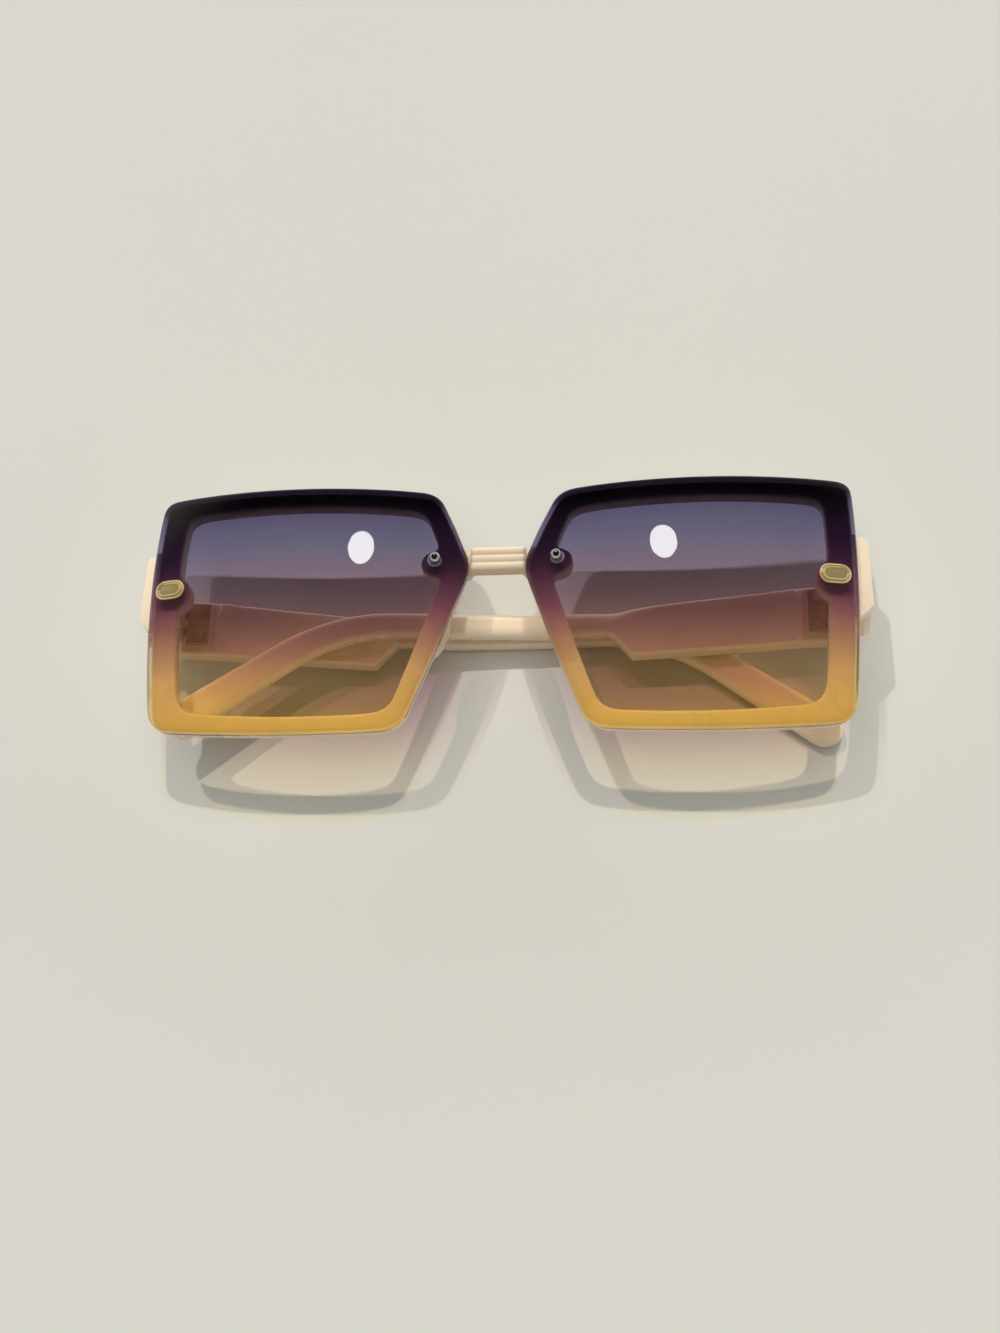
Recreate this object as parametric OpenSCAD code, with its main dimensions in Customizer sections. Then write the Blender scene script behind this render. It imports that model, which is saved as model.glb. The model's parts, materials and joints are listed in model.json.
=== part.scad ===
// Square oversized sunglasses, lying face up on their folded temples.
// Millimetres. X runs to the right of the picture, Y towards the brow, Z out of the lens fronts.
// The left and right names follow the picture: left is the -X side.

/* [Lenses] */
// Width of one lens plate
lens_width = 65.4; // [56:0.2:70]
// Height of one lens plate
lens_height = 53.6; // [44:0.2:60]
// Gap between the two lens plates at the nose
nose_gap = 11.6; // [9:0.2:18]
// Thickness of a lens plate
lens_thickness = 2.0; // [1.4:0.1:3]
// Radius of the lens front surface
lens_radius = 130; // [110:5:260]
// Outward turn of each lens from the plane of the front
face_wrap = 0; // [0:0.5:5]

/* [Frame front] */
// Lens edge beyond the rim behind it
lens_overhang = 0.7; // [0.2:0.1:1.5]
// Width of the rim band behind the lens
rim_band = 4.1; // [3:0.1:6]
// Depth of the rim behind the lens
rim_depth = 3.6; // [2.5:0.1:4.5]
// Space between the lens back and the rim front
seat_gap = 0.1; // [0.05:0.05:0.3]
// Extra rim width at the outer side
outer_band_extra = 0.9; // [0:0.1:2]
// Distance that an endpiece stands out beyond its lens
endpiece_reach = 2.8; // [2:0.1:5]
// Height of the endpiece at its front
endpiece_height = 15; // [12:0.5:18]

/* [Bridge] */
// Height of the middle of the bridge above the lens centre line
bridge_y = 11.1; // [6:0.1:16]
// Radius of each ridge of the bridge
ridge_radius = 0.95; // [0.6:0.05:1.2]
// Spacing of the ridges
ridge_pitch = 1.65; // [1.2:0.05:2]
// Height of the ridges above the front of the rims
ridge_rise = 1.35; // [0.8:0.05:1.6]
// Bridge thickness from front to back
bridge_depth = 3.8; // [3:0.1:5]
// Radius of a nose pad
pad_radius = 5.5; // [4.5:0.5:8]
// Thickness of a nose pad
pad_thickness = 2.4; // [1.6:0.1:3]
// Flare of the nose pads towards the back
pad_flare = 10; // [0:1:20]

/* [Studs and caps] */
// Height of the nose studs above the lens centre line
stud_y = 9.4; // [4:0.1:12]
// Distance of a nose stud from the inner edge of its lens
stud_inset = 6.65; // [5:0.05:9]
// Radius of the ball head of a nose stud
stud_head_radius = 1.2; // [0.9:0.05:1.5]
// Radius of the boss around a nose stud
stud_boss_radius = 3.0; // [2.4:0.1:4]
// Height of the oval caps above the lens centre line
cap_y = 4.0; // [0:0.1:8]
// Distance of an oval cap from the outer edge of its lens
cap_inset = 5.0; // [4:0.1:8]
// Length of an oval cap
cap_length = 6.4; // [5:0.1:8]
// Width of an oval cap
cap_width = 4.2; // [3:0.1:5]
// Height of an oval cap above the lens
cap_height = 1.4; // [0.8:0.1:2.5]
// Radius of the boss around a cap post
cap_boss_radius = 3.7; // [3:0.1:5]
// Radius of the threaded posts of studs and caps
post_radius = 0.6; // [0.4:0.05:0.8]
// Space around a post in its hole
post_clearance = 0.06; // [0.03:0.01:0.15]

/* [Temples] */
// Distance from the hinge axis to the end of the wide part
wide_length = 41.5; // [30:0.5:52]
// Height of the temple at the hinge
root_height = 12.2; // [10:0.2:16]
// Thickness of the wide part
temple_thickness = 4.4; // [3.4:0.1:5.5]
// Height of the narrow arm
arm_height = 5.2; // [4:0.1:7]
// Thickness of the narrow arm
arm_thickness = 4.0; // [3:0.1:4.4]
// Distance from the hinge axis to the bow of the arm
bow_start = 60; // [50:1:75]
// Angle of the bow, and of the outer temple from fully folded
bow_angle = 4.4; // [4.2:0.1:5]
// Distance from the hinge axis to the ear bend
ear_start = 90; // [80:1:100]
// Radius of the ear bend along the middle of the arm
ear_radius = 40; // [25:1:60]
// Angle of the ear bend
ear_angle = 35; // [20:1:45]
// Straight length of the tip behind the ear bend
tip_length = 25; // [15:1:32]
// Width of the tip at its end
tip_width = 7.4; // [5:0.2:9]

/* [Hinges] */
// Height of the middle of the hinge above the lens centre line
hinge_y = 2.6; // [1:0.1:6]
// Distance of the hinge axis behind the back of the rim
hinge_drop = 6.2; // [5:0.1:8]
// Distance from the hinge axis to the inner face of the opened temple
hinge_offset = 1.4; // [1.2:0.05:2]
// Outer radius of the hinge barrels
barrel_radius = 1.15; // [0.9:0.05:1.3]
// Height of one hinge barrel
barrel_height = 1.7; // [1.2:0.1:2.2]
// Space between neighbouring barrels
barrel_gap = 0.1; // [0.05:0.05:0.2]
// Radius of the hinge screw
screw_radius = 0.65; // [0.5:0.05:0.7]
// Space around the hinge screw
screw_clearance = 0.05; // [0.02:0.01:0.1]
// Thickness of the hinge leaves
leaf_thickness = 0.8; // [0.5:0.05:1]
// Length of the leaf on the temple
temple_leaf_length = 4.5; // [4:0.5:8]
// Space between the butt of the opened temple and the endpiece
butt_gap = 0.15; // [0.05:0.05:0.4]

/* [Colours] */
// Frame plastic
frame_colour = "#e9cfa4";
// Lens
lens_colour = "#7a4a58b0";
// Polished gold
gold_colour = "#d3a94e";
// Bright chrome
chrome_colour = "#cfd2d6";
// Hinge metal
hinge_colour = "#b08d5a";
// Clear plastic washers
washer_colour = "#e8eef0a0";

/* [Hidden] */
$fn = 64;
eps = 0.01;
curve_steps = 4;
far = 200;
lens_inner_x = nose_gap / 2;
lens_outer_x = lens_inner_x + lens_width;
ball_x = (lens_inner_x + lens_outer_x) / 2 - lens_radius * sin(face_wrap);
ball_z = -lens_radius * cos(face_wrap);
seat_radius = lens_radius - lens_thickness - seat_gap;
rim_back_radius = seat_radius - rim_depth;
nut_depth = lens_thickness + seat_gap + rim_depth;
stud_x = lens_inner_x + stud_inset;
cap_x = lens_outer_x - cap_inset;
endpiece_x = lens_outer_x + endpiece_reach;
hinge_x = endpiece_x - temple_thickness - hinge_offset;
outer_face = hinge_offset + temple_thickness;
barrels = 5;
hinge_height = barrels * barrel_height + (barrels - 1) * barrel_gap;
web_gap = 0.45;
web_start = barrel_radius + web_gap;
leaf_end_gap = 0.2;
front_leaf_length = hinge_drop - web_start - leaf_end_gap;
arm_drop = 1.2;
root_drop = 0.1;
arm_y = hinge_y - arm_drop;
root_top = hinge_y + root_height / 2 - root_drop;
root_bottom = root_top - root_height;
wide_drop = 2.3;
step_run = 4.5;
rivet_share = 0.6;
rivet_y = 2.6;
rivet_radius = 0.6;
rivet_head_radius = 1.0;
rivet_head_height = 0.35;
rivet_depth = 2.8;
rivet_clearance = 0.04;
nut_radius = 1.3;
nut_height = 1.1;
cap_nut_radius = 1.5;
washer_height = 0.3;
washer_gap = 0.05;
washer_brim = 0.25;
endpiece_rise = 5.8;
endpiece_lap = 4.4;
endpiece_join_share = 0.45;
endpiece_front_top = root_top + endpiece_rise;
endpiece_front_bottom = endpiece_front_top - endpiece_height;
endpiece_chamfer = 1.6;
endpiece_inner = lens_outer_x - endpiece_lap;
gusset = 1.1;
ridge_end_gap = 0.5;
bar_reach = 3;
bar_setback = 0.45;
bar_step = ridge_rise + bar_setback;
pad_share = 0.36;
pad_inset = 3.0;
pad_drop = 0.3;
pad_gap = 0.3;
slope_gap = 0.4;
panel_start = 7;
panel_rise = 0.3;
leaf_margin = 0.4;
longest_side_share = 0.34;
side_bow_share = 0.6;

// Control points of the lens outline, as fractions of the lens width and half height
outline_corners = [[0.10, 0.98], [0.99, 1.0], [0.965, -0.955], [0.19, -0.985], [-0.01, 0.33]];
// Outward bow of each side and rounding of each corner
outline_bows = lens_height * [0.017, 0.021, 0.035, 0.009, 0.004];
outline_rounds = lens_height * [0.12, 0.093, 0.16, 0.15, 0.18];
// Control points of the rim opening, as insets from the corners of the lens outline
opening_shift = [[0.6, -1.0], [-1.0, -1.0], [-1.0, 1.0], [0.55, 1.0], [1.15, -0.05]];
opening_rounds = lens_height * [0.11, 0.093, 0.13, 0.11, 0.15];

function unit2(v) = v / norm(v);
function normal2(v) = [-v[1], v[0]] / norm(v);
function mix(a, b, k) = a * (1 - k) + b * k;
// Control polygon with a corner point, two side points and a bowed middle for each side
function controls(corners, bows, rounds) = [
    for (i = [0 : len(corners) - 1])
        let (
            a = corners[i],
            b = corners[(i + 1) % len(corners)],
            side = unit2(b - a),
            longest = norm(b - a) * longest_side_share,
            bow = normal2(b - a) * bows[i],
            start = a + side * min(rounds[i], longest) + bow * side_bow_share,
            finish = b - side * min(rounds[(i + 1) % len(corners)], longest) + bow * side_bow_share
        )
        each [a, start, (a + b) / 2 + bow, finish]
];
// Smooth closed curve through the middles of the sides of a control polygon
function smooth(points) = [
    for (i = [0 : len(points) - 1])
        let (
            p = points[(i + len(points) - 1) % len(points)],
            q = points[i],
            r = points[(i + 1) % len(points)]
        )
        for (k = [0 : curve_steps - 1])
            let (u = k / curve_steps, m = (p + q) / 2, n = (q + r) / 2)
            mix(mix(m, q, u), mix(q, n, u), u)
];
// Height of a ball about the lens centre above a point
function depth_at(radius, x, y) = ball_z + sqrt(radius * radius - (x - ball_x) * (x - ball_x) - y * y);
function column(points, i) = [for (p = points) p[i]];
// Curve stretched to a box given by its lower left corner and its size
function fitted(points, corner, size) =
    let (
        x0 = min(column(points, 0)),
        x1 = max(column(points, 0)),
        y0 = min(column(points, 1)),
        y1 = max(column(points, 1))
    )
    [for (p = points) [
        corner[0] + (p[0] - x0) / (x1 - x0) * size[0],
        corner[1] + (p[1] - y0) / (y1 - y0) * size[1]
    ]];
// Closed curve moved outwards by a distance, inwards when it is negative
function moved(points, distance) = [
    for (i = [0 : len(points) - 1])
        let (
            before = points[(i + len(points) - 1) % len(points)],
            after = points[(i + 1) % len(points)]
        )
        points[i] + normal2(after - before) * distance
];

hinge_z = depth_at(rim_back_radius, hinge_x + hinge_offset, hinge_y + hinge_height / 2) - hinge_drop;
rest_z = -hinge_z + bow_start * sin(bow_angle) + outer_face * cos(bow_angle);
// Level inside the rim where the block of the endpiece ends
endpiece_join_z = mix(
    depth_at(seat_radius, endpiece_x, endpiece_front_top),
    depth_at(rim_back_radius, hinge_x + hinge_offset, endpiece_front_bottom),
    endpiece_join_share
);
bridge_z = depth_at(seat_radius, lens_inner_x, bridge_y) + ridge_rise;

lens_corners = [
    for (c = outline_corners) [lens_inner_x + c[0] * lens_width, c[1] * lens_height / 2]
];
lens_curve = fitted(
    smooth(controls(lens_corners, outline_bows, outline_rounds)),
    [lens_inner_x, -lens_height / 2],
    [lens_width, lens_height]
);
opening_inset = rim_band + lens_overhang;
opening_corners = [
    for (i = [0 : len(lens_corners) - 1])
        lens_corners[i] + [opening_shift[i][0] * opening_inset, opening_shift[i][1] * opening_inset]
];
opening_curve = smooth(controls(
    [for (i = [0 : len(opening_corners) - 1])
        opening_corners[i] - [i == 1 || i == 2 ? outer_band_extra : 0, 0]],
    outline_bows,
    opening_rounds
));

// Middle line of the temple behind the ear bend, with its half width and its direction
function ear_point(k) = [
    ear_start + ear_radius * sin(k * ear_angle),
    arm_y - ear_radius * (1 - cos(k * ear_angle))
];
ear_end = ear_point(1);
tip_end = ear_end + tip_length * [cos(ear_angle), -sin(ear_angle)];
ear_steps = 8;
function half_width(k) = mix(arm_height / 2, tip_width / 2, k);
ear_share = ear_radius * ear_angle * PI / 180 / (ear_radius * ear_angle * PI / 180 + tip_length);
function ear_side(k, side) =
    ear_point(k) + side * half_width(k * ear_share) * [sin(k * ear_angle), cos(k * ear_angle)];
tip_steps = 12;
function tip_round(angle) = tip_end + tip_width / 2 * [cos(angle), sin(angle)];

// The front lens surface at Z = 0 raised to its height above the table
module lifted() {
    translate([0, 0, rest_z]) children();
}

// Right-hand children, and the same mirrored to the left
module both_sides() {
    children();
    mirror([1, 0, 0]) children();
}

// The origin of the children on the lens front at a point, their Z along its normal
module at_lens_point(x, y) {
    dx = x - ball_x;
    flat = sqrt(dx * dx + y * y);
    translate([ball_x, 0, ball_z])
        rotate([0, 0, atan2(y, dx)])
        rotate([0, asin(flat / lens_radius), 0])
        rotate([0, 0, -atan2(y, dx)])
        translate([0, 0, lens_radius])
        children();
}

module ball(radius) {
    translate([ball_x, 0, ball_z]) sphere(r = radius, $fn = 200);
}

// Everything between two balls about the lens centre
module shell(outer, inner) {
    difference() {
        ball(outer);
        ball(inner);
    }
}

module lens_holes(radius) {
    at_lens_point(stud_x, stud_y)
        translate([0, 0, -far / 10]) cylinder(r = radius, h = far / 5);
    at_lens_point(cap_x, cap_y)
        translate([0, 0, -far / 10]) cylinder(r = radius, h = far / 5);
}

module lens() {
    difference() {
        intersection() {
            translate([0, 0, -far / 5])
                linear_extrude(height = far / 4) polygon(lens_curve);
            shell(lens_radius, lens_radius - lens_thickness);
        }
        lens_holes(post_radius + post_clearance);
    }
}

module left_lens() {
    color(lens_colour) lifted() mirror([1, 0, 0]) lens();
}

module right_lens() {
    color(lens_colour) lifted() lens();
}

module rim_outline() {
    difference() {
        polygon(moved(lens_curve, -lens_overhang));
        polygon(opening_curve);
    }
    intersection() {
        polygon(moved(lens_curve, -lens_overhang));
        union() {
            translate([stud_x, stud_y]) circle(r = stud_boss_radius);
            translate([cap_x, cap_y]) circle(r = cap_boss_radius);
        }
    }
    polygon([
        [endpiece_inner, endpiece_front_top - endpiece_chamfer],
        [endpiece_inner + endpiece_chamfer, endpiece_front_top],
        [endpiece_x - endpiece_chamfer / 2, endpiece_front_top],
        [endpiece_x, endpiece_front_top - endpiece_chamfer / 2],
        [endpiece_x, endpiece_front_bottom],
        [endpiece_x - 2 * endpiece_chamfer, endpiece_front_bottom - 2 * endpiece_chamfer],
        [endpiece_inner, endpiece_front_bottom - 2 * endpiece_chamfer]
    ]);
}

// The part of the endpiece behind the rim, seen from the side, and seen from above
module endpiece_side() {
    polygon([
        [root_bottom, hinge_z + butt_gap],
        [root_top, hinge_z + butt_gap],
        [endpiece_front_top - slope_gap, endpiece_join_z],
        [endpiece_front_bottom, endpiece_join_z]
    ]);
}

module endpiece_plan() {
    polygon([
        [hinge_x + hinge_offset, hinge_z],
        [endpiece_x, hinge_z],
        [endpiece_x, endpiece_join_z],
        [hinge_x + hinge_offset, endpiece_join_z]
    ]);
}

module endpiece() {
    intersection() {
        translate([hinge_x, 0, 0])
            rotate([90, 0, 90])
            linear_extrude(height = far) endpiece_side();
        rotate([90, 0, 0])
            linear_extrude(height = far, center = true) endpiece_plan();
    }
}

module nose_pad() {
    edge = unit2(lens_corners[3] - lens_corners[4]);
    middle = mix(lens_corners[4], lens_corners[3], pad_share) + [pad_inset, 0];
    intersection() {
        translate([middle[0], middle[1], depth_at(rim_back_radius, middle[0], middle[1]) - pad_drop])
            rotate([0, 0, atan2(edge[1], edge[0])])
            rotate([-90 - pad_flare, 0, 0])
            cylinder(r = pad_radius, h = pad_thickness, center = true);
        ball(seat_radius - pad_gap);
    }
}

module half_front() {
    intersection() {
        translate([0, 0, -far / 5])
            linear_extrude(height = far / 4) rim_outline();
        shell(seat_radius, rim_back_radius);
    }
    endpiece();
    nose_pad();
}

module bridge_section(front) {
    half = ridge_pitch + ridge_radius * 0.9;
    translate([bridge_y - half, bridge_z - bridge_depth]) square([2 * half, bridge_depth - front]);
}

module bridge() {
    ridge_z = bridge_z - ridge_radius;
    ridge_half = lens_inner_x - ridge_end_gap;
    bar_half = lens_inner_x + bar_reach;
    translate([-ridge_half, 0, 0])
        rotate([90, 0, 90])
        linear_extrude(height = 2 * ridge_half) {
            bridge_section(ridge_radius);
            for (i = [-1 : 1])
                translate([bridge_y + i * ridge_pitch, ridge_z]) circle(r = ridge_radius);
        }
    translate([-bar_half, 0, 0])
        rotate([90, 0, 90])
        linear_extrude(height = 2 * bar_half) bridge_section(bar_step);
    both_sides()
        translate([
            lens_inner_x - gusset,
            bridge_y - ridge_pitch - ridge_radius - gusset,
            bridge_z - bridge_depth
        ])
        cube([bar_reach, 2 * gusset, bridge_depth - bar_step]);
}

module rivet_holes() {
    for (side = [-1, 1])
        translate([0, hinge_y + side * rivet_y, -rivet_head_height])
        rotate([180, 0, 0])
        cylinder(r = rivet_radius + rivet_clearance, h = hinge_offset + rivet_depth + rivet_clearance);
}

// Places of the two rivet rows, in the axes of a leaf
module at_front_rivets() {
    translate([web_start + front_leaf_length / 2, 0, 0]) children();
}

module at_temple_rivets() {
    translate([web_start + rivet_share * temple_leaf_length, 0, 0]) children();
}

// Children in the axes of a leaf, placed on the right endpiece
module on_endpiece() {
    translate([hinge_x, 0, hinge_z])
        rotate([0, -90, 0])
        children();
}

module frame_front() {
    color(frame_colour) lifted()
        difference() {
            union() {
                both_sides() half_front();
                bridge();
            }
            both_sides() {
                lens_holes(post_radius + post_clearance);
                on_endpiece() at_front_rivets() rivet_holes();
            }
        }
}

// Threaded post from behind its nut into the head above the lens
module post() {
    translate([0, 0, -nut_depth - washer_gap - nut_height])
        cylinder(r = post_radius, h = nut_depth + nut_height + 2 * washer_height);
}

module stud() {
    seat = washer_height + sqrt(pow(stud_head_radius, 2) - pow(post_radius + post_clearance, 2));
    at_lens_point(stud_x, stud_y) {
        translate([0, 0, seat]) sphere(r = stud_head_radius);
        post();
    }
}

module ring(outer, inner, height) {
    difference() {
        cylinder(r = outer, h = height);
        translate([0, 0, -eps]) cylinder(r = inner, h = height + 2 * eps);
    }
}

module stud_washer() {
    at_lens_point(stud_x, stud_y)
        translate([0, 0, washer_gap])
        ring(stud_head_radius + washer_brim, post_radius + post_clearance, washer_height - 2 * washer_gap);
}

module nut(radius) {
    translate([0, 0, -nut_depth - washer_gap - nut_height])
        difference() {
            cylinder(r = radius, h = nut_height, $fn = 6);
            translate([0, 0, -eps]) cylinder(r = post_radius + post_clearance, h = nut_height + 2 * eps);
        }
}

module nose_studs() {
    color(chrome_colour) lifted() both_sides() stud();
}

module nose_stud_washers() {
    color(washer_colour) lifted() both_sides() stud_washer();
}

module nose_stud_nuts() {
    color(chrome_colour) lifted() both_sides() at_lens_point(stud_x, stud_y) nut(nut_radius);
}

// Oval made of two rounds and a bar
module oval(length, width, height) {
    linear_extrude(height = height) {
        for (side = [-1, 1])
            translate([side * (length - width) / 2, 0]) circle(d = width);
        square([length - width, width], center = true);
    }
}

module oval_cap() {
    border = 0.6;
    dish = 0.35;
    at_lens_point(cap_x, cap_y) {
        difference() {
            union() {
                translate([0, 0, washer_height])
                    oval(cap_length - border, cap_width - border, cap_height - washer_height);
                translate([0, 0, washer_height + border / 2])
                    oval(cap_length, cap_width, cap_height - washer_height - border);
            }
            translate([0, 0, cap_height - dish])
                oval(cap_length - 3 * border, cap_width - 3 * border, dish + 1);
        }
        post();
    }
}

module left_oval_cap() {
    color(gold_colour) lifted() mirror([1, 0, 0]) oval_cap();
}

module right_oval_cap() {
    color(gold_colour) lifted() oval_cap();
}

module cap_washers() {
    color(washer_colour) lifted()
        both_sides()
        at_lens_point(cap_x, cap_y)
        translate([0, 0, washer_gap])
        ring(cap_width / 2 - washer_brim, post_radius + post_clearance, washer_height - 2 * washer_gap);
}

module cap_nuts() {
    color(gold_colour) lifted() both_sides() at_lens_point(cap_x, cap_y) nut(cap_nut_radius);
}

// A leaf with its barrels on the axes of the temple: X along the leaf, Z from the head side
module leaf(length, first) {
    difference() {
        union() {
            translate([web_start, hinge_y - hinge_height / 2, -hinge_offset])
                cube([length, hinge_height, leaf_thickness]);
            for (i = [first : 2 : barrels - 1])
                translate([0, hinge_y - hinge_height / 2 + i * (barrel_height + barrel_gap), 0]) {
                    translate([0, barrel_height, 0])
                        rotate([90, 0, 0])
                        cylinder(r = barrel_radius, h = barrel_height);
                    translate([0, 0, -barrel_radius])
                        cube([web_start + eps, barrel_height, barrel_radius - screw_radius / 2]);
                }
        }
        translate([0, hinge_y + hinge_height, 0])
            rotate([90, 0, 0])
            cylinder(r = screw_radius + screw_clearance, h = 2 * hinge_height);
    }
}

module temple_leaf() {
    difference() {
        leaf(temple_leaf_length, 1);
        at_temple_rivets() rivet_holes();
    }
}

module front_leaf() {
    on_endpiece()
        difference() {
            leaf(front_leaf_length, 0);
            at_front_rivets() rivet_holes();
        }
}

module left_front_hinge_leaf() {
    color(hinge_colour) lifted() mirror([1, 0, 0]) front_leaf();
}

module right_front_hinge_leaf() {
    color(hinge_colour) lifted() front_leaf();
}

module rivets() {
    for (side = [-1, 1])
        translate([0, hinge_y + side * rivet_y, 0]) {
            translate([0, 0, -hinge_offset + leaf_thickness])
                cylinder(r = rivet_head_radius, h = rivet_head_height);
            translate([0, 0, -hinge_offset - rivet_depth])
                cylinder(r = rivet_radius, h = rivet_depth + leaf_thickness + eps);
        }
}

module front_leaf_rivets() {
    color(hinge_colour) lifted() both_sides() on_endpiece() at_front_rivets() rivets();
}

module hinge_screw() {
    head_height = 0.7;
    slot = 0.3;
    neck = 0.4;
    translate([hinge_x, 0, hinge_z])
        difference() {
            union() {
                translate([0, hinge_y + hinge_height / 2, 0])
                    rotate([90, 0, 0])
                    cylinder(r = screw_radius, h = hinge_height);
                translate([0, hinge_y + hinge_height / 2 + washer_gap + head_height, 0])
                    rotate([90, 0, 0])
                    cylinder(r = barrel_radius, h = head_height);
                translate([0, hinge_y + hinge_height / 2 + neck / 2, 0])
                    rotate([90, 0, 0])
                    cylinder(r = screw_radius, h = neck);
            }
            translate([0, hinge_y + hinge_height / 2 + washer_gap + head_height, 0])
                cube([4 * barrel_radius, head_height, slot], center = true);
        }
}

module left_hinge_screw() {
    color(chrome_colour) lifted() mirror([1, 0, 0]) hinge_screw();
}

module right_hinge_screw() {
    color(chrome_colour) lifted() hinge_screw();
}

// Side view of the temple: X from the hinge axis to the tip, Y towards the brow
module temple_side() {
    polygon(concat(
        [
            [butt_gap, root_bottom],
            [butt_gap, root_top],
            [wide_length + step_run, arm_y + arm_height / 2]
        ],
        [for (i = [0 : ear_steps]) ear_side(i / ear_steps, 1)],
        [for (i = [0 : tip_steps]) tip_round(90 - ear_angle - 180 * i / tip_steps)],
        [for (i = [0 : ear_steps]) ear_side(1 - i / ear_steps, -1)],
        [
            [wide_length + step_run, arm_y - arm_height / 2],
            [wide_length, root_bottom - wide_drop]
        ]
    ));
}

// Plan of the temple: flat outer face with the bow, and a thinner arm behind the wide part
module temple_plan() {
    step = temple_thickness - arm_thickness;
    behind = far - bow_start;
    polygon([
        [butt_gap, -outer_face],
        [butt_gap, -hinge_offset],
        [wide_length, -hinge_offset],
        [wide_length + step_run, -hinge_offset - step],
        [bow_start - arm_thickness * tan(bow_angle / 2), -hinge_offset - step],
        [far, -outer_face + behind * tan(bow_angle) + arm_thickness / cos(bow_angle)],
        [far, -outer_face + behind * tan(bow_angle)],
        [bow_start, -outer_face]
    ]);
}

// The lower face around the hinge leaf, up to the round end of the raised panel
module recess_side() {
    end_x = panel_start + root_height;
    leaf_half = hinge_height / 2 + leaf_margin;
    difference() {
        translate([0, root_bottom - wide_drop]) square([end_x, root_height + 2 * wide_drop]);
        translate([end_x, (root_top + root_bottom) / 2]) circle(r = root_height);
        translate([web_start - leaf_margin, hinge_y - leaf_half])
            square([temple_leaf_length + 2 * leaf_margin, 2 * leaf_half]);
    }
}

module temple() {
    difference() {
        intersection() {
            translate([0, 0, -far / 2]) linear_extrude(height = far) temple_side();
            rotate([90, 0, 0]) linear_extrude(height = far, center = true) temple_plan();
        }
        translate([0, 0, -hinge_offset - panel_rise])
            linear_extrude(height = 2 * panel_rise) recess_side();
        at_temple_rivets() rivet_holes();
    }
}

// The left temple lies under the other one, so it stays a little open
module on_left_hinge() {
    translate([-hinge_x, 0, hinge_z]) rotate([0, bow_angle, 0]) children();
}

module on_right_hinge() {
    translate([hinge_x, 0, hinge_z]) mirror([1, 0, 0]) children();
}

module left_temple() {
    color(frame_colour) lifted() on_left_hinge() temple();
}

module right_temple() {
    color(frame_colour) lifted() on_right_hinge() temple();
}

module left_temple_hinge_leaf() {
    color(hinge_colour) lifted() on_left_hinge() temple_leaf();
}

module right_temple_hinge_leaf() {
    color(hinge_colour) lifted() on_right_hinge() temple_leaf();
}

module left_temple_leaf_rivets() {
    color(hinge_colour) lifted() on_left_hinge() at_temple_rivets() rivets();
}

module right_temple_leaf_rivets() {
    color(hinge_colour) lifted() on_right_hinge() at_temple_rivets() rivets();
}

frame_front();
left_lens();
right_lens();
nose_studs();
nose_stud_washers();
nose_stud_nuts();
left_oval_cap();
right_oval_cap();
cap_washers();
cap_nuts();
left_front_hinge_leaf();
right_front_hinge_leaf();
front_leaf_rivets();
left_hinge_screw();
right_hinge_screw();
left_temple();
left_temple_hinge_leaf();
left_temple_leaf_rivets();
right_temple();
right_temple_hinge_leaf();
right_temple_leaf_rivets();
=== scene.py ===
import json
import math

import bmesh
import bpy
from bpy.props import FloatProperty, FloatVectorProperty, PointerProperty
from mathutils import Matrix, Vector


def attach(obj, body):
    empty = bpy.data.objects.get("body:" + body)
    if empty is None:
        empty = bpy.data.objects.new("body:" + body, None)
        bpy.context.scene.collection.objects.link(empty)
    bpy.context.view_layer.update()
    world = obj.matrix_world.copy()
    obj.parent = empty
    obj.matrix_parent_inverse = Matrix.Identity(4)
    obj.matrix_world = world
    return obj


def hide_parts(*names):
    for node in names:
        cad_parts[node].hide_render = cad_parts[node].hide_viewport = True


bl_info = {
    "name": "Square sunglasses",
    "version": (1, 0, 0),
    "blender": (4, 5, 0),
    "location": "3D View > Sidebar > Sunglasses",
    "description": "Square sunglasses with gradient lenses, on a plain table in soft light",
    "category": "Add Mesh",
}

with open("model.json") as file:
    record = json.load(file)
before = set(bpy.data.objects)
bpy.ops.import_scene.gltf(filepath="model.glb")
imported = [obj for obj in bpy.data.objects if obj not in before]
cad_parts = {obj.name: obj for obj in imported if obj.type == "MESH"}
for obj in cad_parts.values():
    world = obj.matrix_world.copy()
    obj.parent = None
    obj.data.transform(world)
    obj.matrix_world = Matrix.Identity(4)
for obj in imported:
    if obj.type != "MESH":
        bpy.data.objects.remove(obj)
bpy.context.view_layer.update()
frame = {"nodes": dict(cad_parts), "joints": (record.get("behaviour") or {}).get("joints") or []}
MM = 0.001
HINGE_AT = {joint["name"]: Vector(joint["pos_m"]) for joint in frame["joints"]}
HINGE_Y = HINGE_AT["right_hinge"].y

# Small sizes that have no property of their own
BOSS_FILLET = 1.4 * MM
RIM_ROUND = 0.75 * MM
ENDPIECE_LAP = 4.4 * MM
ENDPIECE_SINK = 0.15 * MM
ENDPIECE_CUT = 1.6 * MM
ENDPIECE_CORNER = 0.8 * MM
ENDPIECE_ROUND = 0.35 * MM
ENDPIECE_JOIN_SHARE = 0.45
BUTT_GAP = 0.15 * MM
PAD_SHARE = 0.36
PAD_DROP = 0.3 * MM
PAD_ROUND = 1.0 * MM
PAD_SINK = 2.0 * MM
BRIDGE_RISE = 1.35 * MM
BRIDGE_STEP = 1.8 * MM
BRIDGE_GUSSET = 1.1 * MM
BRIDGE_CORNER = 0.6 * MM
RIDGE_EDGE_SHARE = 0.95
ROOT_DROP = 0.1 * MM
ARM_DROP = 1.2 * MM
FACE_OFFSET = 1.4 * MM
STEP_LENGTH = 4.5 * MM
ARM_ROUND = 1.75 * MM
LEAF_START = 1.2 * MM
LEAF_SEAT = (5.3 * MM, 9.7 * MM, 0.8 * MM)
LEAF_SEAT_ROUND = 0.12 * MM
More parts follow.
